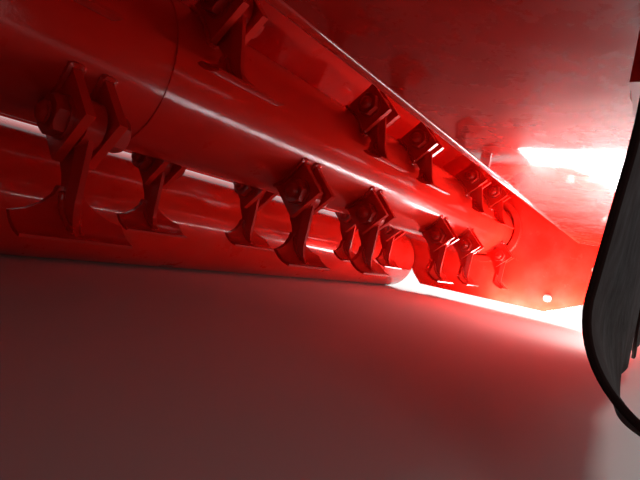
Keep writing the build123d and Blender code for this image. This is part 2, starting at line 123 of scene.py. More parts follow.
class Look:
    # a material with a Principled shader, and short words for its nodes
    def __init__(self, name):
        self.material = bpy.data.materials.new(name)
        self.material.use_nodes = True
        self.tree = self.material.node_tree
        self.shader = self.tree.nodes["Principled BSDF"]
        MATERIALS[name] = self.material

    def node(self, kind):
        return self.tree.nodes.new("ShaderNode" + kind)

    def put(self, socket, value):
        if isinstance(value, (float, tuple)):
            socket.default_value = value
        else:
            self.tree.links.new(value, socket)

    def feed(self, name, value):
        self.put(self.shader.inputs[name], value)

    def place(self):
        return self.node("TexCoord").outputs["Object"]

    def height_of(self, vector):
        parts = self.node("SeparateXYZ")
        self.put(parts.inputs["Vector"], vector)
        return parts.outputs["Z"]

    def noise(self, scale, detail=3.0, rough=0.55):
        noise = self.node("TexNoise")
        self.put(noise.inputs["Scale"], scale)
        self.put(noise.inputs["Detail"], detail)
        self.put(noise.inputs["Roughness"], rough)
        self.put(noise.inputs["Vector"], self.place())
        return noise.outputs["Fac"]

    def ramp(self, factor, stops):
        ramp = self.node("ValToRGB")
        marks = ramp.color_ramp.elements
        for mark, (place, colour) in zip(marks, (stops[0], stops[-1])):
            mark.position = place
            mark.color = colour
        self.put(ramp.inputs["Fac"], factor)
        return ramp.outputs["Color"]

    def mix(self, factor, first, second):
        mix = self.node("Mix")
        mix.data_type = "RGBA"
        # the colour sockets share their names with others, so they go by number
        for number, value in ((0, factor), (6, first), (7, second)):
            self.put(mix.inputs[number], value)
        return mix.outputs[2]

    def calc(self, operation, first, second):
        math_node = self.node("Math")
        math_node.operation = operation
        self.put(math_node.inputs[0], first)
        self.put(math_node.inputs[1], second)
        return math_node.outputs[0]

    def times(self, first, second):
        return self.calc("MULTIPLY", first, second)

    def plus(self, first, second):
        return self.calc("ADD", first, second)

    def most(self, first, second):
        return self.calc("MAXIMUM", first, second)

    def bump(self, height, strength, distance, under=None):
        bump = self.node("Bump")
        self.put(bump.inputs["Strength"], strength)
        self.put(bump.inputs["Distance"], distance)
        self.put(bump.inputs["Height"], height)
        if under is not None:
            self.put(bump.inputs["Normal"], under)
        return bump.outputs["Normal"]


def grey(value):
    return (value, value, value, 1.0)


def tint(colour, share=1.0):
    return tuple(min(1.0, part * share) for part in colour) + (1.0,)


NONE, FULL = grey(0.0), grey(1.0)
DEEP = (0.56, 0.0085, 0.0045)
LIGHT = (0.68, 0.016, 0.007)
DUST = (0.22, 0.16, 0.13, 1.0)
EARTH = (0.20, 0.15, 0.11, 1.0)


def paint(name, rough, dust, peel, deep=DEEP, light=LIGHT, coat=1.0, grain=0.0, settled=0.0):
    # glossy enamel: two tones, orange peel, a thin dust film in patches and fine specks
    look = Look(name)
    tone = look.ramp(look.noise(5.0, 4.0), [(0.3, tint(deep)), (0.7, tint(light))])
    film = look.ramp(look.noise(13.0, 8.0, 0.7), [(0.46, NONE), (0.78, FULL)])
    specks = look.ramp(look.noise(420.0, 2.0), [(0.66, NONE), (0.74, FULL)])
    dusty = look.most(look.times(film, dust), look.times(specks, dust * 0.8))
    if settled > 0:
        # more dust where the surface faces up
        normal = look.node("NewGeometry").outputs["Normal"]
        up = look.ramp(look.height_of(normal), [(0.55, NONE), (0.97, FULL)])
        drift = look.ramp(look.noise(3.2, 9.0, 0.72), [(0.38, grey(0.15)), (0.68, FULL)])
        dusty = look.most(dusty, look.times(look.times(up, drift), settled))
    look.feed("Base Color", look.mix(dusty, tone, DUST))
    uneven = look.ramp(look.noise(22.0, 6.0, 0.65), [(0.3, grey(rough)), (0.8, grey(rough + 0.16))])
    look.feed("Roughness", look.plus(uneven, look.times(dusty, 0.5)))
    look.feed("Specular IOR Level", 0.12)
    look.feed("Coat Weight", coat)
    gloss = [(0.35, grey(0.03)), (0.8, grey(0.05 + 0.35 * dust))]
    look.feed("Coat Roughness", look.ramp(look.noise(17.0, 7.0, 0.7), gloss))
    skin_deep = look.bump(look.noise(330.0, 2.0), peel, 0.0005)
    if grain > 0:
        skin_deep = look.bump(look.noise(1100.0, 2.0), grain, 0.0004, skin_deep)
    wavy = look.bump(look.noise(6.0, 2.0), 0.12, 0.004, skin_deep)
    look.feed("Normal", wavy)
    look.feed("Coat Normal", wavy)


def metal(name, colour, rough, spread):
    # plated or cast bright metal with a fine scratched grain
    look = Look(name)
    tones = [(0.35, tint(colour, 0.72)), (0.65, tint(colour))]
    look.feed("Base Color", look.ramp(look.noise(60.0, 6.0, 0.6), tones))
    look.feed("Metallic", 0.75)
    dull = [(0.3, grey(rough)), (0.7, grey(rough + spread))]
    look.feed("Roughness", look.ramp(look.noise(140.0, 4.0), dull))
    look.feed("Normal", look.bump(look.noise(900.0, 2.0), 0.15, 0.0003))


def turned(name, colour):
    # bright turned steel: fine rings round X under a patchy grease film
    look = Look(name)
    rings = look.node("TexWave")
    rings.bands_direction = "X"
    look.put(rings.inputs["Scale"], 700.0)
    look.put(rings.inputs["Distortion"], 1.5)
    look.put(rings.inputs["Vector"], look.place())
    tones = [(0.4, tint(colour)), (0.75, tint(colour, 0.5))]
    look.feed("Base Color", look.ramp(look.noise(26.0, 5.0), tones))
    look.feed("Metallic", 1.0)
    look.feed("Roughness", look.ramp(look.noise(35.0, 4.0), [(0.3, grey(0.2)), (0.8, grey(0.42))]))
    look.feed("Normal", look.bump(rings.outputs["Fac"], 0.25, 0.0002))


def cast(name, colour):
    # a dull dark casting with a sandy skin
    look = Look(name)
    tones = [(0.3, tint(colour)), (0.75, tint(colour, 1.5))]
    look.feed("Base Color", look.ramp(look.noise(45.0, 6.0), tones))
    look.feed("Roughness", look.ramp(look.noise(80.0, 4.0), [(0.3, grey(0.38)), (0.7, grey(0.62))]))
    sandy = look.bump(look.noise(480.0, 5.0, 0.7), 0.5, 0.0008)
    look.feed("Normal", look.bump(look.noise(90.0, 3.0), 0.25, 0.001, sandy))


def rubber(name):
    # black sheet rubber, tinted red as a painted reflection of the red paint around it: calendered grain
    # and dull patches, with dust towards the lower edge
    look = Look(name)
    low = look.ramp(look.times(look.height_of(look.place()), 4.0), [(0.12, FULL), (0.6, NONE)])
    patch = look.ramp(look.noise(34.0, 7.0, 0.72), [(0.45, NONE), (0.75, FULL)])
    dusty = look.times(look.times(low, patch), 0.07)
    # the rubber's black with a red tint: a painted reflection of the red hood
    reddened_black = [(0.3, (0.010, 0.0045, 0.004, 1.0)), (0.7, (0.022, 0.010, 0.009, 1.0))]
    look.feed("Base Color", look.mix(dusty, look.ramp(look.noise(9.0, 3.0), reddened_black), EARTH))
    dull = look.ramp(look.noise(48.0, 6.0, 0.6), [(0.3, grey(0.55)), (0.75, grey(0.72))])
    look.feed("Specular IOR Level", 0.012)
    look.feed("Roughness", look.plus(dull, look.times(dusty, 0.7)))
    fine = look.bump(look.noise(900.0, 2.0), 0.18, 0.0004)
    look.feed("Normal", look.bump(look.noise(30.0, 4.0), 0.3, 0.003, fine))


paint("red_paint", rough=0.24, dust=0.10, peel=0.05)
paint("outer_paint", rough=0.24, dust=0.10, peel=0.05, settled=0.30)
# the front plate's underside: the same red enamel, darkened as painted shade
paint("under_paint_painted_shade", rough=0.20, dust=0.07, peel=0.02, coat=0.85,
      deep=(0.36, 0.0055, 0.003), light=(0.46, 0.010, 0.0045))
paint("plate_paint", rough=0.16, dust=0.07, peel=0.012)
paint("rotor_paint", rough=0.26, dust=0.05, peel=0.22, grain=0.14)
paint("knife_paint", rough=0.30, dust=0.08, peel=0.16, coat=0.8, grain=0.12,
      deep=(0.50, 0.008, 0.0045), light=(0.62, 0.013, 0.007))
paint("bolt_steel", rough=0.30, dust=0.10, peel=0.12, coat=0.8,
      deep=(0.42, 0.010, 0.006), light=(0.56, 0.014, 0.008))
paint("weld_paint", rough=0.22, dust=0.05, peel=0.30, grain=0.2,
      deep=(0.48, 0.008, 0.0045), light=(0.62, 0.014, 0.007))
turned("shaft_steel", (0.60, 0.60, 0.60))
cast("bearing_iron", (0.10, 0.10, 0.105))
metal("zinc", (0.72, 0.70, 0.64), rough=0.28, spread=0.2)
rubber("flap_rubber")
cast("black_cap", (0.014, 0.014, 0.015))
metal("brass", (0.78, 0.56, 0.26), rough=0.25, spread=0.15)

# the solids' looks and softened edges
SLOT = {part["node"]: part["material_slot"] for part in frame["record"]["subparts"]}
# the front plate takes the red darkened as painted shade
FINISH = {"front_plate": "under_paint_painted_shade", "end_plate_left": "plate_paint", "end_plate_right": "plate_paint"}
for outer in ("hood_shell", "front_cover", "carrier_beam", "drive_seat", "hood_ribs",
              "roller_arm_left", "roller_arm_right"):
    FINISH[outer] = "outer_paint"
EDGE = {"knives": 0.0012, "lugs": 0.0014, "bolts": 0.0008}
PLAIN_EDGE = 0.0015


def soften(obj, width, angle):
    bevel = obj.modifiers.new("edge", "BEVEL")
    bevel.width = width
    bevel.segments = 2
    bevel.limit_method = "ANGLE"
    bevel.angle_limit = math.radians(angle)
    return bevel


def dress_solids():
    for name, obj in nodes.items():
        obj.data.materials.clear()
        obj.data.materials.append(MATERIALS[FINISH.get(name, SLOT[name])])
        kind = name.split("_")[0]
        soften(obj, EDGE.get(kind, PLAIN_EDGE), 35).harden_normals = True


dress_solids()


# mesh helpers
def make_piece(bm, name, look, body, smooth=35.0, replaces=()):
    mesh = bpy.data.meshes.new(name)
    bmesh.ops.recalc_face_normals(bm, faces=bm.faces)
    bm.to_mesh(mesh)
    bm.free()
    piece = bpy.data.objects.new(name, mesh)
    scene.collection.objects.link(piece)
    mesh.materials.append(MATERIALS[look])
    for face in mesh.polygons:
        face.use_smooth = True
    mesh.set_sharp_from_angle(angle=math.radians(smooth))
    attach(piece, body)
    for node in replaces:
        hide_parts(node)
    return piece


def basis(axis):
    a = Vector(axis).normalized()
    u = Vector((0, 0, 1)) if abs(a.z) < 0.9 else Vector((1, 0, 0))
    v = a.cross(u).normalized()
    return a, v.cross(a).normalized(), v


def turns(count):
    return [2 * math.pi * k / count for k in range(count)]


def ring(bm, centre, u, v, r, count):
    return [bm.verts.new(centre + (u * math.cos(t) + v * math.sin(t)) * r) for t in turns(count)]


def skin(bm, rings, closed=False, caps=True):
    count = len(rings[0])
    for i in range(len(rings) - (0 if closed else 1)):
        one, other = rings[i], rings[(i + 1) % len(rings)]
        for k in range(count):
            j = (k + 1) % count
            bm.faces.new((one[k], one[j], other[j], other[k]))
    if caps and not closed:
        bm.faces.new(list(reversed(rings[0])))
        bm.faces.new(rings[-1])


def lathe(bm, centre, axis, profile, count, caps=True, closed=False):
    # profile: distances along the axis, each with its radius
    a, u, v = basis(axis)
    rings = [ring(bm, centre + a * h, u, v, r, count) for h, r in profile]
    skin(bm, rings, closed=closed, caps=caps)


def hexagon(bm, centre, axis, flats, height, turn=0.0):
    # a hexagon head or nut with its outer corners turned down
    a, u, v = basis(axis)
    half = flats / 2
    sixth = math.radians(60)
    rings = [[], [], []]
    for level in range(3):
        for t in turns(24):
            from_flat = (t + sixth / 2) % sixth - sixth / 2
            side = half / math.cos(from_flat)
            r = (side, side, half * 0.955)[level]
            h = (0.0, height * 0.9 - (side - half) * 0.55, height)[level]
            spoke = u * math.cos(t + turn) + v * math.sin(t + turn)
            rings[level].append(bm.verts.new(centre + a * h + spoke * r))
    skin(bm, rings)


def thread(bm, centre, axis, r, length, pitch=0.0015):
    # grooves round the end of a bolt, with a smaller end face
    groove_r, end_r = r * 0.88, r * 0.82
    count = max(2, int(length / pitch))
    profile = []
    for i in range(count):
        profile += [(length * i / count, groove_r), (length * (i + 0.5) / count, r)]
    lathe(bm, centre, axis, profile + [(length, end_r)], 20)


def screw_set(bm, centre, axis, d, head=True, tail=0.0):
    # a washer with a head, or with a nut and the bolt's threaded end; d is the washer's radius
    a = Vector(axis).normalized()
    washer = d * 0.18
    lathe(bm, centre, axis, [(0, d), (d * 0.12, d * 1.06), (washer, d)], 28)
    height = d * (0.62 if head else 0.8)
    flats, thread_r = d * 1.55, d * 0.48
    any_turn = rng.uniform(0, 1.05)
    hexagon(bm, centre + a * washer, axis, flats, height, any_turn)
    if tail:
        thread(bm, centre + a * (washer + height * 0.6), axis, thread_r, tail + height * 0.4)


def even_spots(path, step, closed):
    # places at even distances along a path
    legs = [(path[i + 1] - path[i]).length for i in range(len(path) - 1)]
    total = sum(legs)
    count = max(4, int(total / step))
    spots, leg, passed = [], 0, 0.0
    for i in range(count if closed else count + 1):
        distance = total * i / count
        while leg < len(legs) - 1 and passed + legs[leg] < distance:
            passed += legs[leg]
            leg += 1
        share = (distance - passed) / max(legs[leg], 1e-9)
        spots.append(path[leg].lerp(path[leg + 1], min(max(share, 0.0), 1.0)))
    return spots


# how far a bead's rings stand out, dip in and vary, as shares of its radius, and its ends' share
CREST = 0.16
DIP = -0.10
UNEVEN = 0.10
BEAD_END = 0.55


def bead(bm, points, radius, closed=False, ripple=0.0042, sides=6):
    # a rippled weld bead, or a wire, along a path of points
    path = [Vector(p) for p in points]
    if closed:
        path.append(path[0])
    spots = even_spots(path, ripple / 2, closed)
    count = len(spots)
    rings = []
    u = None
    for i, spot in enumerate(spots):
        before = spots[(i - 1) % count] if closed or i > 0 else spot
        after = spots[(i + 1) % count] if closed or i < count - 1 else spot
        a = (after - before).normalized()
        # the ring's frame is carried along the path, so it never flips
        if u is None:
            u = basis(a)[1]
        u = (u - a * u.dot(a)).normalized()
        r = radius * (1.0 + (CREST if i % 2 else DIP) + rng.uniform(-UNEVEN, UNEVEN))
        if not closed and i in (0, count - 1):
            r *= BEAD_END
        rings.append(ring(bm, spot, u, a.cross(u), r, sides))
    skin(bm, rings, closed=closed)


def circle(x, r, y=0.0, z=0.0, count=96):
    return [at(x, y + r * math.cos(t), z + r * math.sin(t)) for t in turns(count)]


# rotor pieces
def knives():
    # each knife's middle, and its row's angle and lean
    for angle, lean, marks in ROWS:
        for unit in range(-LAST_UNIT, LAST_UNIT + 1):
            if unit % UNIT_CYCLE in marks:
                yield unit * UNIT_PITCH, math.radians(angle), math.radians(lean)


def lug_welds():
    # a bead round the foot of each lug, a millimetre out from its faces and edges
    bm = bmesh.new()
    width, steps = 0.057, 14
    for x, angle, _ in knives():
        out = Vector((0, math.cos(angle), math.sin(angle)))
        across = Vector((0, -out.z, out.y))
        for side in (-1, 1):
            points = []
            for face, way in ((LUG_IN - 0.001, 1), (LUG_OUT + 0.001, -1)):
                for i in range(steps + 1):
                    w = way * (-width / 2 + width * i / steps)
                    h = math.sqrt(TUBE_R ** 2 - w ** 2) + 0.0006
                    points.append(at(x + side * face, 0, 0) + out * h + across * w)
            bead(bm, points, 0.0029, closed=True)
    make_piece(bm, "lug_welds", "weld_paint", "rotor", 50)


def knife_welds():
    # beads on both sides of each stem where it stands in its scoop
    bm = bmesh.new()
    seat_y, seat_z, seat_r = -0.0365, -0.0565, 0.0370
    stem_half, taper_from, taper_length, taper = 0.006, -0.004, 0.010, 0.35
    for x, angle, lean in knives():
        pivot_y, pivot_z = PIVOT_R * math.cos(angle), PIVOT_R * math.sin(angle)
        c, s = math.cos(lean), math.sin(lean)
        for side in (-1, 1):
            points = []
            for degrees in range(2, 67, 4):
                y = seat_y + seat_r * math.cos(math.radians(degrees))
                z = seat_z - seat_r * math.sin(math.radians(degrees))
                half = stem_half - taper * min(max(taper_from - y, 0.0), taper_length)
                x_weld = x + side * (half + 0.0010)
                points.append(at(x_weld, pivot_y + y * c - z * s, pivot_z + y * s + z * c))
            bead(bm, points, 0.0026, ripple=0.0036)
    make_piece(bm, "knife_welds", "weld_paint", "rotor", 60)


def bolt_tips():
    # the threaded, rounded end of each pivot bolt, standing out of its nut
    bm = bmesh.new()
    nut_face, thread_end, thread_r, thread_l = 0.0309, 0.0347, 0.0098, 0.0040
    point = [
        (0, 0.0094), (0.0006, 0.0085), (0.0018, 0.0076),
        (0.0030, 0.0055), (0.0036, 0.0030), (0.0038, 0.0010),
    ]
    for x, angle, _ in knives():
        y, z = PIVOT_R * math.cos(angle), PIVOT_R * math.sin(angle)
        thread(bm, at(x - nut_face, y, z), (-1, 0, 0), thread_r, thread_l, 0.0020)
        lathe(bm, at(x - thread_end, y, z), (-1, 0, 0), point, 24)
    make_piece(bm, "bolt_tips", "bolt_steel", "rotor", 50)


def tube_seams():
    # the butt seam of the tube, and the welds round the shafts' discs in its ends
    bm = bmesh.new()
    bead(bm, circle(-0.242, TUBE_R, count=120), 0.0010, closed=True, ripple=0.005)
    for side in (-1, 1):
        disc = circle(side * (INNER - 0.0205), TUBE_R - 0.0085, count=120)
        bead(bm, disc, 0.0022, closed=True, ripple=0.005)
    make_piece(bm, "tube_seams", "weld_paint", "rotor", 50)


def drive_key():
    # the key on the drive shaft, and the turned face with a centre hole on the shaft's end
    bm = bmesh.new()
    far, near, half_w, shaft_end = -1.147, -1.107, 0.007, -1.1500
    middle = (far + near) / 2
    outline = []
    for centre, start in ((far + half_w, math.pi / 2), (near - half_w, -math.pi / 2)):
        for i in range(9):
            t = start + math.pi * i / 8
            outline.append((centre + half_w * math.cos(t), half_w * math.sin(t)))
    rings = []
    # heights above the axis, and how far the outline is drawn in there along and across the shaft
    for h, along, across in ((0.020, 1, 1), (0.0289, 1, 1), (0.0295, 0.97, 0.92)):
        rings.append([bm.verts.new(at(middle + (x - middle) * along, y * across, h)) for x, y in outline])
    skin(bm, rings)
    face = [(0, 0.0235), (0.0003, 0.0230), (0.0003, 0.006), (-0.004, 0.0022)]
    lathe(bm, at(shaft_end, 0, 0), (-1, 0, 0), face, 32, caps=False)
    make_piece(bm, "drive_key", "shaft_steel", "rotor")


# housing pieces
def housing_bolts():
    # bolts of the wear shoes, the leg sleeves' flanges and the rotor's bearings
    bm = bmesh.new()
    shoe = [(-0.215, -0.179), (0.120, -0.185)]
    sleeve = [(-0.325, -0.074), (-0.435, -0.074), (-0.325, 0.090), (-0.435, 0.090)]
    shoe_t, sleeve_flange, small, large = 0.006, 0.008, 0.0105, 0.0150
    for side in (-1, 1):
        out = (side, 0, 0)
        # the nuts inside; the upper bolts of the sleeves have none
        for y, z in shoe + sleeve[:2]:
            screw_set(bm, at(side * INNER, y, z), (-side, 0, 0), small, head=False, tail=0.006)
        for y, z in shoe:
            screw_set(bm, at(side * (OUTER + shoe_t), y, z), out, small)
        for y, z in sleeve:
            screw_set(bm, at(side * (OUTER + sleeve_flange), y, z), out, small)
        for degrees in range(30, 390, 60):
            a = math.radians(degrees)
            y, z = BOLT_CIRCLE_R * math.cos(a), BOLT_CIRCLE_R * math.sin(a)
            screw_set(bm, at(side * (OUTER + BEARING_FLANGE), y, z), out, large)
    make_piece(bm, "housing_bolts", "zinc", "housing")


def curtain_bolts():
    # two bolts a flap: a low round head inside, the nut in front
    bm = bmesh.new()
    bolt_z, shares = -0.026, (0.2, 0.8)
    dome = [(0, 0.0078), (0.0010, 0.0078), (0.0024, 0.0066), (0.0036, 0.0042), (0.0040, 0.0015)]
    for place in range(FLAP_PLACES):
        if place == FLAP_GONE:
            continue
        for share in shares:
            x = -INNER + FLAP_PITCH * (place + share)
            lathe(bm, at(x, STRIP_FACE, bolt_z), (0, 1, 0), dome, 24)
            screw_set(bm, at(x, COVER_FACE, bolt_z), (0, -1, 0), 0.0080, head=False, tail=0.004)
    make_piece(bm, "curtain_bolts", "zinc", "housing")


def on_cover(x, y):
    # a place just above the front cover's slope
    return at(x, y, COVER_KNEE_Z + (y - COVER_FACE) * math.tan(COVER_SLOPE) + 0.001)


def on_hood(x, y):
    # a place just above the hood's arch
    return at(x, y, math.sqrt(HOOD_OUT ** 2 - y ** 2) + 0.0012)


def hood_welds(bm):
    # arch, cover and front plate to the end plates, then the cover to the arch in stitches
    arc_r, arc_start, arc_turn, arc_steps = HOOD_OUT + 0.001, -8, 140, 59
    arc = [math.radians(arc_start + arc_turn * i / arc_steps) for i in range(arc_steps + 1)]
    under_plate, plate_ends = -0.0035, (-0.446, -0.264)
    for side in (-1, 1):
        x = side * (INNER - 0.0015)
        points = [at(x, arc_r * math.cos(a), arc_r * math.sin(a)) for a in arc]
        bead(bm, [p for p in points if p.y - AXIS.y > COVER_MEET_Y], SEAM_BEAD)
        bead(bm, [on_cover(x, y) for y in (COVER_FACE + 0.004, COVER_MEET_Y)], SEAM_BEAD)
        bead(bm, [at(side * (INNER - 0.001), y, under_plate) for y in plate_ends], SMALL_BEAD)
    stitch, spacing = 0.06, 0.14
    height = on_cover(0.0, COVER_MEET_Y).z - AXIS.z
    x = -INNER + 0.03
    while x < INNER - 0.09:
        bead(bm, [at(x + d, COVER_MEET_Y - 0.002, height) for d in (0.0, stitch)], STOUT_BEAD)
        x += spacing


def ear_welds(bm):
    # both faces of each ear plate, on the cover's slope, the arch and the cover's front
    arch_from, arch_to, arch_steps = COVER_MEET_Y, -0.054, 12
    arch = [arch_from + (arch_to - arch_from) * i / arch_steps for i in range(arch_steps + 1)]
    front_low, front_top = 0.030, 0.106
    off = EAR_T / 2 + 0.001
    for side, way in ((-1, 1), (-1, -1), (1, -1), (1, 1)):
        middle = side * (EAR_X + way * (EAR_GAP + EAR_T) / 2)
        for x in (middle - off, middle + off):
            bead(bm, [on_cover(x, y) for y in (COVER_FACE + 0.003, COVER_MEET_Y)], EAR_BEAD)
            bead(bm, [on_hood(x, y) for y in arch], EAR_BEAD)
            bead(bm, [at(x, COVER_FACE - 0.0012, z) for z in (front_low, front_top)], EAR_BEAD)


def beam_welds(bm):
    # ribs on the arch and under the beam, the beam's end caps, and the drive seat on the beam
    rib_from, rib_run, rib_steps = -0.165, 0.335, 24
    under_beam, across_seat, along_seat = BEAM_HALF - 0.002, BEAM_HALF - 0.001, SEAT_HALF - 0.005
    for share in RIB_SHARES:
        for face in (-RIB_HALF_T - 0.0012, RIB_HALF_T + 0.0012):
            x = share * INNER + face
            arch = [rib_from + rib_run * i / rib_steps for i in range(rib_steps + 1)]
            bead(bm, [on_hood(x, y) for y in arch], SEAM_BEAD)
            bead(bm, [at(x, y, BEAM_LOW - 0.001) for y in (-under_beam, under_beam)], SEAM_BEAD)
    corners = [(-BEAM_HALF, BEAM_LOW), (BEAM_HALF, BEAM_LOW), (BEAM_HALF, BEAM_TOP), (-BEAM_HALF, BEAM_TOP)]
    for side in (-1, 1):
        bead(bm, [at(side * (OUTER - 0.006), y, z) for y, z in corners], TRIM_BEAD, closed=True)
    for x in (-SEAT_HALF - 0.0015, SEAT_HALF + 0.0015):
        bead(bm, [at(x, y, BEAM_TOP + 0.001) for y in (-across_seat, across_seat)], STOUT_BEAD)
    for y in (-BEAM_HALF - 0.001, BEAM_HALF + 0.001):
        bead(bm, [at(x, y, BEAM_TOP - 0.0005) for x in (-along_seat, along_seat)], SEAM_BEAD)


def end_welds(bm):
    # roller arms, guard rings and the webs of the leg sleeves
    arm = [(0.125, 0.046), (0.111, 0.030), (0.111, -0.050), (0.133, -0.082), (0.205, -0.136)]
    top = [(0.125, 0.046), (0.251, 0.046), (0.277, 0.018)]
    boss_r, web_half, web_low, web_top = 0.0405, 0.021, -0.012, 0.094
    for side in (-1, 1):
        x = side * (OUTER + 0.001)
        bead(bm, [at(x, y - 0.001, z) for y, z in arm], STOUT_BEAD)
        bead(bm, [at(x, y, z + 0.001) for y, z in top], STOUT_BEAD)
        boss = circle(side * (OUTER + 0.0125), boss_r, ROLLER_Y, ROLLER_Z, 60)
        bead(bm, boss, SEAM_BEAD, closed=True)
        bead(bm, circle(side * (INNER - 0.0005), RING_R), TRIM_BEAD, closed=True, ripple=0.005)
        for y in (LEG_Y - web_half, LEG_Y + web_half):
            bead(bm, [at(side * (OUTER + 0.0085), y, z) for z in (web_low, web_top)], 0.0028)


def housing_welds():
    bm = bmesh.new()
    hood_welds(bm)
    ear_welds(bm)
    beam_welds(bm)
    end_welds(bm)
    make_piece(bm, "housing_welds", "weld_paint", "housing", 50)


def hood_bend():
    # the rounded bend where the hood's sheet turns into the flat front plate
    bm = bmesh.new()
    bend_y, bend_z, bend_r, uneven = -0.2672, 0.0005, 0.0065, 0.012
    steps = 110
    half = INNER - 0.001
    rings = []
    for i in range(steps + 1):
        x = -half + 2 * half * i / steps
        r = bend_r * (1 + rng.uniform(-uneven, uneven))
        around = [(bend_y + r * math.cos(t), bend_z + r * math.sin(t)) for t in turns(18)]
        rings.append([bm.verts.new(at(x, y, z)) for y, z in around])
    skin(bm, rings)
    make_piece(bm, "hood_bend", "red_paint", "housing", 60)


def ear_collars():
    # a chamfered collar round each pin hole, on the plates' outer faces, with its weld
    bm = bmesh.new()
    collar_r, hole_r, collar_t = 0.0260, 0.0166, 0.0045
    collar = [
        (0, collar_r), (0.0032, collar_r), (collar_t, 0.0246),
        (collar_t, 0.0176), (0.0035, hole_r), (0, hole_r),
    ]
    for side in (-1, 1):
        for way in (1, -1):
            face = EAR_X + way * (EAR_GAP / 2 + EAR_T)
            for y, z in EAR_PINS:
                lathe(bm, at(side * face, y, z), (side * way, 0, 0), collar, 40, closed=True)
                foot = circle(side * (face + way * 0.0008), collar_r + 0.001, y, z, 48)
                bead(bm, foot, 0.0020, closed=True)
    make_piece(bm, "ear_collars", "red_paint", "housing", 40)


def grease_nipples():
    # on the rotor's bearings and the roller arms' bosses
    bm = bmesh.new()
    foot = 0.004
    stem = [
        (0, 0.0030), (0.003, 0.0028), (0.0045, 0.0022),
        (0.006, 0.0032), (0.008, 0.0032), (0.0098, 0.0018),
    ]
    for side in (-1, 1):
        bearing = at(side * (OUTER + 0.032), 0, 0.0615)
        boss = at(side * (OUTER + 0.024), ROLLER_Y, ROLLER_Z + 0.0395)
        for place in (bearing, boss):
            hexagon(bm, place, (0, 0, 1), 0.009, foot)
            lathe(bm, place + Vector((0, 0, foot)), (0, 0, 1), stem, 16)
    make_piece(bm, "grease_nipples", "brass", "housing")


def leg_pins():
    # a headed pin through each leg and its sleeve, with a spring clip through the pin's end
    bm = bmesh.new()
    pin_z = 0.060
    front, back = LEG_Y - SLEEVE_HALF + 0.001, LEG_Y + SLEEVE_HALF - 0.001
    pin_r, head_r = 0.0085, 0.0135
    head = [(0, pin_r), (0.004, pin_r), (0.0048, head_r), (0.0085, head_r), (0.0098, 0.0120)]
    tail = [(0, pin_r), (0.018, pin_r), (0.021, 0.0060)]
    clip_top, clip_low, loop_half, loop_deep, bow_out, wire_r = 0.016, -0.020, 0.007, 0.010, 0.004, 0.0016
    for side in (-1, 1):
        lathe(bm, at(side * LEG_X, front, pin_z), (0, -1, 0), head, 28)
        lathe(bm, at(side * LEG_X, back, pin_z), (0, 1, 0), tail, 28)
        clip = at(side * LEG_X, back + 0.013, pin_z)
        # the clip's straight leg through the pin, its loop below, and its bowed leg outside
        points = [clip + Vector((0, 0, clip_top)), clip + Vector((0, 0, clip_low))]
        for i in range(1, 13):
            a = math.pi * i / 12
            across = side * (loop_half - loop_half * math.cos(a))
            points.append(clip + Vector((across, 0, clip_low - loop_deep * math.sin(a))))
        for i in range(1, 9):
            across = side * (2 * loop_half + bow_out * math.sin(math.pi * i / 8))
            points.append(clip + Vector((across, 0, clip_low + (clip_top - clip_low) * i / 8)))
        bead(bm, points, wire_r, ripple=0.006, sides=8)
    make_piece(bm, "leg_pins", "zinc", "housing")


def leg_cap(name, side):
    # a plastic cap with rounded corners in the top of the leg's square tube
    bm = bmesh.new()
    foot, corner = 0.140, 1.30
    rings = []
    for h, half in ((0.0, 0.0262), (0.0035, 0.0262), (0.0062, 0.0245), (0.0070, 0.0200)):
        level = []
        for t in turns(32):
            c, s = math.cos(t), math.sin(t)
            r = min(half / max(abs(c), abs(s)), half * corner)
            level.append(bm.verts.new(at(side * LEG_X + r * c, LEG_Y + r * s, foot + h)))
        rings.append(level)
    skin(bm, rings)
    make_piece(bm, "leg_cap_" + name, "black_cap", "leg_" + name)


FLAP_T = 0.004
FLAP_TOP = -0.011
FLAP_LOW = -0.215
FLAP_COLUMNS = 30
FLAP_ROWS = 40
# how deep below a flap's top edge it starts to sway, its bow starts and ends, and its curl starts
SWAY_FROM = 0.045
BOW_FROM = 0.035
BOW_TO = 0.070
CURL_FROM = 0.129
# the curl's radius, and the angle at which it slackens
CURL_R = 0.053
CURL_FULL = math.radians(60)


def flap_bend(down, share, sway, wave, curled, angle):
    # how fast a flap turns at this depth, by its own set; share runs across the flap
    rates = []
    if down > SWAY_FROM:
        rates.append(sway * 2.2 * (0.4 + 0.6 * math.sin(wave + 2.5 * share)))
    if curled:
        # a slight bow backwards, then the curl of the free corner
        if BOW_FROM < down < BOW_TO:
            rates.append(-(1 - share) ** 1.2 * 2.5)
        if down > CURL_FROM:
            sharp = 1 / CURL_R if angle < CURL_FULL else 3.0
            rates.append((1 - share) ** 1.6 * sharp)
    return rates


def flap_column(bm, x, share, sway, wave, curled):
    # the front and back points of one column of a flap, from its top edge down
    step = (FLAP_TOP - FLAP_LOW) / FLAP_ROWS
    angle, y, z = 0.0, FRONT_FACE + FLAP_T / 2, FLAP_TOP
    front, back = [], []
    for row in range(FLAP_ROWS + 1):
        down = row * step
        ripple = 0.0022 * (down / 0.2) ** 2 * math.sin(wave + 7.0 * share + 1.5 * down / 0.2)
        middle = at(x, y + ripple, z)
        normal = Vector((0, -math.cos(angle), math.sin(angle)))
        front.append(bm.verts.new(middle + normal * FLAP_T / 2))
        back.append(bm.verts.new(middle - normal * FLAP_T / 2))
        # each rate is added by itself, as the curl slackens once the flap has turned far
        for rate in flap_bend(down, share, sway, wave, curled, angle):
            angle += rate * step
        y -= math.sin(angle) * step
        z -= math.cos(angle) * step
    return front, back


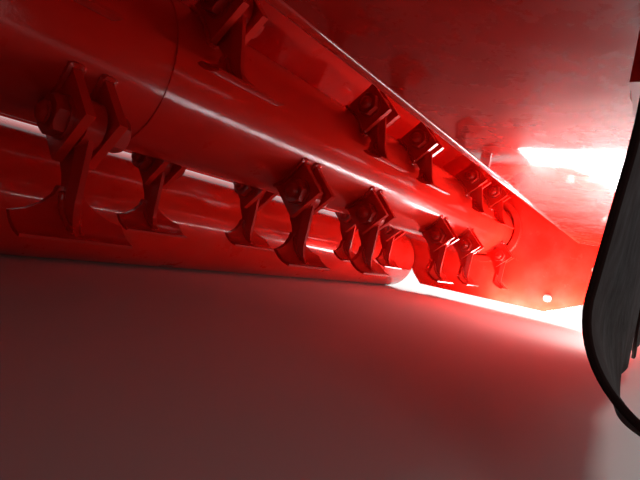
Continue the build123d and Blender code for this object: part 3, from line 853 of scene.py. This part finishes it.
def flap_faces(bm, front, back):
    last_column, last_row = len(front) - 1, len(front[0]) - 1
    for i in range(last_column):
        for j in range(last_row):
            bm.faces.new((front[i][j], front[i + 1][j], front[i + 1][j + 1], front[i][j + 1]))
            bm.faces.new((back[i][j], back[i][j + 1], back[i + 1][j + 1], back[i + 1][j]))
        bm.faces.new((front[i][0], back[i][0], back[i + 1][0], front[i + 1][0]))
        bm.faces.new((front[i][last_row], front[i + 1][last_row], back[i + 1][last_row], back[i][last_row]))
    for j in range(last_row):
        bm.faces.new((front[0][j], front[0][j + 1], back[0][j + 1], back[0][j]))
        bm.faces.new((front[-1][j], back[-1][j], back[-1][j + 1], front[-1][j + 1]))


def rubber_flaps():
    # sheet rubber flaps bent by their own set; the one beside the gap curls at its free corner
    bm = bmesh.new()
    gap, curled = 0.005, FLAP_GONE + 1
    for place, sway in ((0, 0.10), (1, 0.02), (3, 0.0), (4, -0.06), (5, 0.07), (6, -0.02), (7, 0.04)):
        left = -INNER + place * FLAP_PITCH + gap / 2
        wave = rng.uniform(0, 6.28)
        front, back = [], []
        for column in range(FLAP_COLUMNS + 1):
            share = column / FLAP_COLUMNS
            x = left + (FLAP_PITCH - gap) * share
            one, other = flap_column(bm, x, share, sway, wave, place == curled)
            front.append(one)
            back.append(other)
        flap_faces(bm, front, back)
    flaps = make_piece(bm, "rubber_flaps", "flap_rubber", "housing", 40, ("curtain_flaps",))
    soften(flaps, 0.0012, 50)


lug_welds()
knife_welds()
bolt_tips()
tube_seams()
drive_key()
housing_bolts()
curtain_bolts()
housing_welds()
hood_bend()
ear_collars()
grease_nipples()
leg_pins()
leg_cap("left", -1)
leg_cap("right", 1)
rubber_flaps()


# floor, light and camera
# the even fill on the object, and the backdrop's brightness to the eye and in reflections
FILL = 0.11
BACKDROP = 0.62
BACKDROP_COLOUR = (0.96, 0.98, 1.0, 1.0)


def floor():
    bpy.ops.mesh.primitive_plane_add(size=40, location=(0, 0, 0))
    plane = bpy.context.object
    plane.name = "floor"
    look = Look("floor_pale")
    pale = [(0.3, (0.50, 0.485, 0.465, 1.0)), (0.7, (0.56, 0.545, 0.525, 1.0))]
    look.feed("Base Color", look.ramp(look.noise(1.2, 3.0), pale))
    look.feed("Roughness", 0.85)
    # far from the object the floor runs into the backdrop, for the eye alone
    far = look.node("VectorMath")
    far.operation = "LENGTH"
    look.put(far.inputs[0], look.place())
    fade = look.ramp(look.times(far.outputs["Value"], 0.1), [(0.22, NONE), (0.80, FULL)])
    seen = look.node("LightPath").outputs["Is Camera Ray"]
    look.feed("Emission Color", BACKDROP_COLOUR)
    look.feed("Emission Strength", look.times(look.times(fade, seen), BACKDROP * 0.85))
    plane.data.materials.append(look.material)


def studio():
    # a pale backdrop for the eye and for reflections, and a low even fill for everything else
    world = bpy.data.worlds.new("studio")
    scene.world = world
    world.use_nodes = True
    tree = world.node_tree
    background = tree.nodes["Background"]
    background.inputs["Color"].default_value = BACKDROP_COLOUR
    path = tree.nodes.new("ShaderNodeLightPath")
    seen = tree.nodes.new("ShaderNodeMath")
    seen.operation = "MAXIMUM"
    tree.links.new(path.outputs["Is Camera Ray"], seen.inputs[0])
    tree.links.new(path.outputs["Is Glossy Ray"], seen.inputs[1])
    level = tree.nodes.new("ShaderNodeMath")
    level.operation = "MULTIPLY_ADD"
    level.inputs[1].default_value = BACKDROP - FILL
    level.inputs[2].default_value = FILL
    tree.links.new(seen.outputs[0], level.inputs[0])
    tree.links.new(level.outputs[0], background.inputs["Strength"])


def area(name, place, target, size, power, shines=True, lights=True):
    # a lamp that the eye doesn't see; shines: reflections show it, lights: it lights what is matt
    data = bpy.data.lights.new(name, "AREA")
    data.shape = "RECTANGLE"
    data.size, data.size_y = size
    data.energy = power
    lamp = bpy.data.objects.new(name, data)
    scene.collection.objects.link(lamp)
    lamp.location = place
    lamp.rotation_euler = (Vector(target) - Vector(place)).to_track_quat("-Z", "Y").to_euler()
    lamp.visible_camera = False
    lamp.visible_glossy = shines
    lamp.visible_diffuse = lights


def lamps():
    area("key", (3.3, 0.45, 2.7), (1.0, -0.1, 0.2), (0.9, 2.2), 170)
    area("top", (0.0, -0.6, 3.4), (0.0, 0.0, 0.3), (3.4, 2.2), 64)
    area("floor_right", (1.72, -0.10, 0.60), (1.36, -0.10, 0.0), (0.5, 0.8), 6)
    # the sunlit ground past the right end plate, which the front plate and the tube mirror
    area("sunlit", (1.21, -0.13, 0.003), (1.21, -0.129, 1.0), (0.50, 0.28), 7.5, lights=False)
    # light that the ground throws up under the hood
    area("end_strip", (1.000, -0.13, 0.012), (0.90, -0.13, 1.0), (0.30, 0.08), 10.0, shines=False)
    area("front_mid", (0.28, -0.366, 0.005), (0.28, -0.365, 1.0), (0.50, 0.024), 1.0)
    area("front_far", (0.76, -0.366, 0.005), (0.76, -0.365, 1.0), (0.48, 0.026), 2.0)
    # light from the flaps' side on the rotor, and a little from in front of the machine
    area("front_wall", (0.80, -0.372, 0.10), (0.80, 0.0, 0.10), (0.45, 0.12), 1.6, shines=False)
    area("mouth", (-0.62, -0.85, 0.30), (0.0, 0.10, 0.22), (0.30, 0.30), 0.3)


def add_camera():
    # the photograph's place: low in front of the flaps' gap, looking along the rotor to the right
    yaw, pitch, roll = math.radians(35.616), math.radians(0.04), math.radians(11.009)
    view = Vector((math.cos(pitch) * math.cos(yaw), math.cos(pitch) * math.sin(yaw), math.sin(pitch)))
    level = Vector((math.sin(yaw), -math.cos(yaw), 0.0))
    upright = level.cross(view)
    right = level * math.cos(roll) + upright * math.sin(roll)
    up = upright * math.cos(roll) - level * math.sin(roll)
    place = AXIS + Vector((-0.5129, -0.4808, -0.1399))
    data = bpy.data.cameras.new("photo_camera")
    data.sensor_width = 36.0
    data.lens = 27.092
    data.clip_start = 0.01
    data.clip_end = 60.0
    camera = bpy.data.objects.new("photo_camera", data)
    scene.collection.objects.link(camera)
    camera.matrix_world = Matrix((
        (right.x, up.x, -view.x, place.x),
        (right.y, up.y, -view.y, place.y),
        (right.z, up.z, -view.z, place.z),
        (0, 0, 0, 1),
    ))
    scene.camera = camera


floor()
studio()
lamps()
add_camera()
scene.view_settings.view_transform = "Standard"
